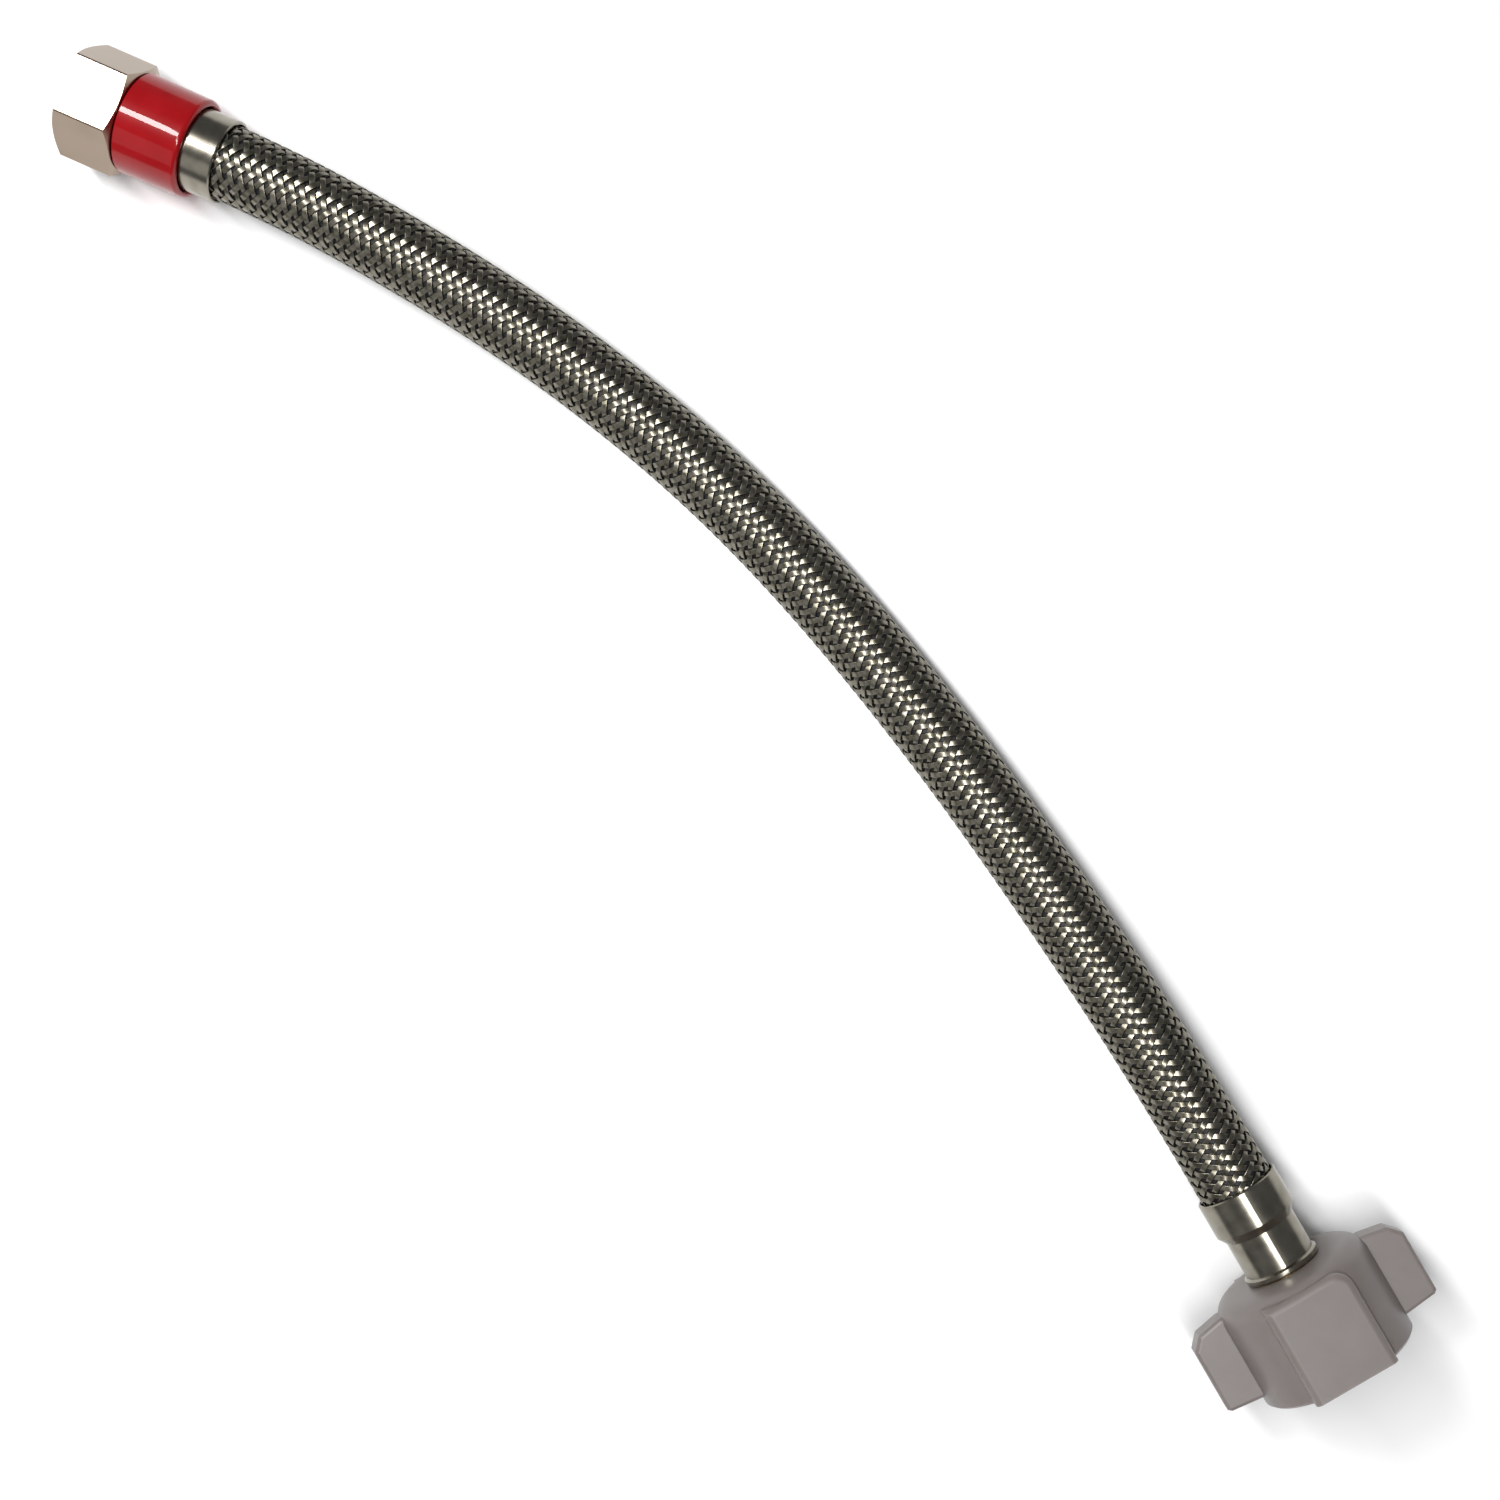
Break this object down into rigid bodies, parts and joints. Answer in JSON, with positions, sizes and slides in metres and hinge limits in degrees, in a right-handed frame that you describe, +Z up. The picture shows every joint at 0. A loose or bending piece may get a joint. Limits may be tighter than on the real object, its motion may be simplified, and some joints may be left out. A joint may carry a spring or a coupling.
{
  "type": "braided supply line",
  "caption": "Flexible stainless-braided water supply line with a hex compression nut and shutoff collar on one end and a plastic wing nut on the other.",
  "frame": {"origin": "on the surface that the line lies on, under the middle of the fittings' bounding box", "axes": "+X from the inlet (hex nut) end to the outlet (wing nut) end, +Y towards the side that the hose bows to, +Z up"},
  "size_m": [0.3036, 0.054, 0.0278],
  "materials": {
    "nickel_plate": "bright nickel plate",
    "ferrule_steel": "polished stainless steel",
    "braid_steel": "woven stainless wire",
    "spring_steel": "drawn wire",
    "brass": "machined",
    "red_plastic": "glossy, slightly translucent",
    "nut_plastic": "semi-gloss, slightly translucent",
    "valve_plastic": "moulded",
    "liner_polymer": "smooth",
    "seal_rubber": "moulded"
  },
  "bodies": {
    "hose_assembly": {"braid_sleeve": "braid_steel", "inner_tube": "liner_polymer", "plunger_spring": "spring_steel", "inlet_ferrule": "ferrule_steel", "outlet_ferrule": "ferrule_steel", "inlet_tailpiece": "brass", "outlet_tailpiece": "brass", "inlet_cone_seal": "seal_rubber", "outlet_cone_washer": "seal_rubber", "shutoff_collar": "red_plastic", "retaining_ring": "spring_steel"},
    "hex_nut": {"hex_nut": "nickel_plate"},
    "wing_nut": {"wing_nut": "nut_plastic"},
    "plunger": {"shutoff_plunger": "valve_plastic", "plunger_o_ring": "seal_rubber"}
  },
  "joints": [
    {"name": "hex_nut_spin", "type": "hinge", "parent": "hose_assembly", "child": "hex_nut", "pos_m": [-0.14288, -0.00187, 0.00873], "axis": [-0.9285, -0.3714, 0], "continuous": true},
    {"name": "wing_nut_spin", "type": "hinge", "parent": "hose_assembly", "child": "wing_nut", "pos_m": [0.14057, 0.00011, 0.0139], "axis": [0.9686, -0.2487, 0], "continuous": true},
    {"name": "plunger_slide", "type": "slide", "parent": "hose_assembly", "child": "plunger", "axis": [0.9285, 0.3714, 0], "range_m": [0, 0.0017], "stiffness_N_per_m": 300, "springref_m": -0.001, "deforming": ["plunger_spring"]}
  ]
}
